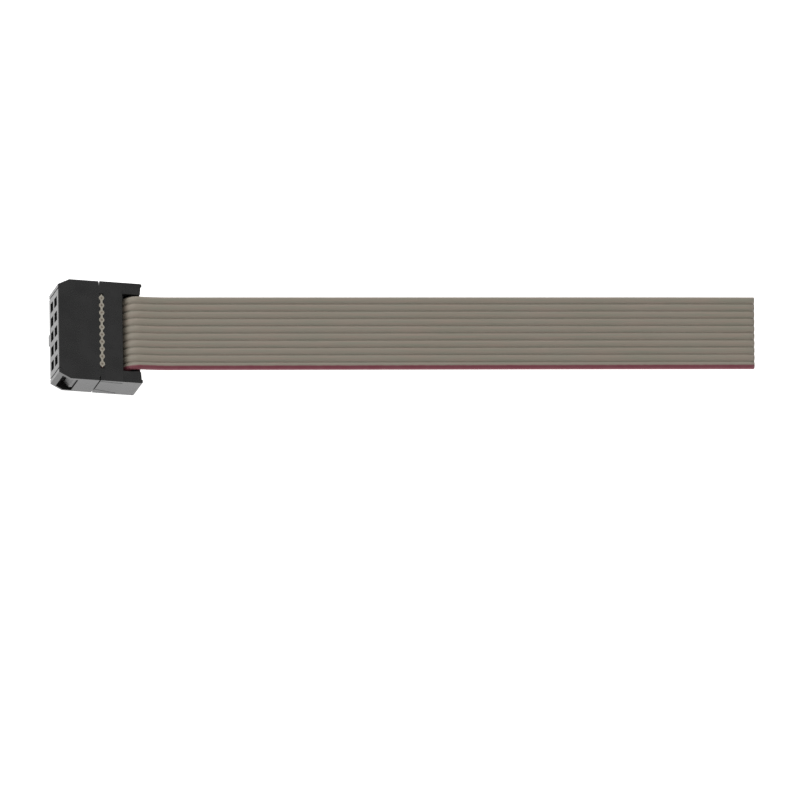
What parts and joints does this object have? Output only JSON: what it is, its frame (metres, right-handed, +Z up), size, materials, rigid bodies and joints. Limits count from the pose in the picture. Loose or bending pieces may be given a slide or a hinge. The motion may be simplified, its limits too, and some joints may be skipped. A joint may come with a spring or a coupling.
{
  "type": "ribbon cable",
  "caption": "Flat grey ribbon cable with a red edge stripe, a black keyed socket connector with strain relief at one end and a square-cut bare end.",
  "frame": {"origin": "on the surface that the cable lies on, under the middle of the connector", "axes": "-X is the mating direction of the connector and the ribbon leaves towards +X; +Y runs along the connector's length; +Z is up, away from the keyed side that the connector lies on. Conductor 1, with the stripe, is at the -Y edge."},
  "size_m": [0.1211, 0.0253, 0.0075],
  "materials": {
    "moulding_black": "fine-textured glass-filled polyester, slight sheen",
    "ribbon_pvc": "smooth flexible PVC, grey with a red edge stripe",
    "contact_metal": "stamped phosphor bronze, tin plated",
    "conductor_metal": "tinned copper strands"
  },
  "bodies": {
    "root": {"socket_housing": "moulding_black", "cable_cover": "moulding_black", "strain_relief": "moulding_black", "ribbon_insulation": "ribbon_pvc", "contact_01": "contact_metal", "contact_02": "contact_metal", "contact_03": "contact_metal", "contact_04": "contact_metal", "contact_05": "contact_metal", "contact_06": "contact_metal", "contact_07": "contact_metal", "contact_08": "contact_metal", "contact_09": "contact_metal", "contact_10": "contact_metal", "conductor_01": "conductor_metal", "conductor_02": "conductor_metal", "conductor_03": "conductor_metal", "conductor_04": "conductor_metal", "conductor_05": "conductor_metal", "conductor_06": "conductor_metal", "conductor_07": "conductor_metal", "conductor_08": "conductor_metal", "conductor_09": "conductor_metal", "conductor_10": "conductor_metal"}
  },
  "joints": []
}
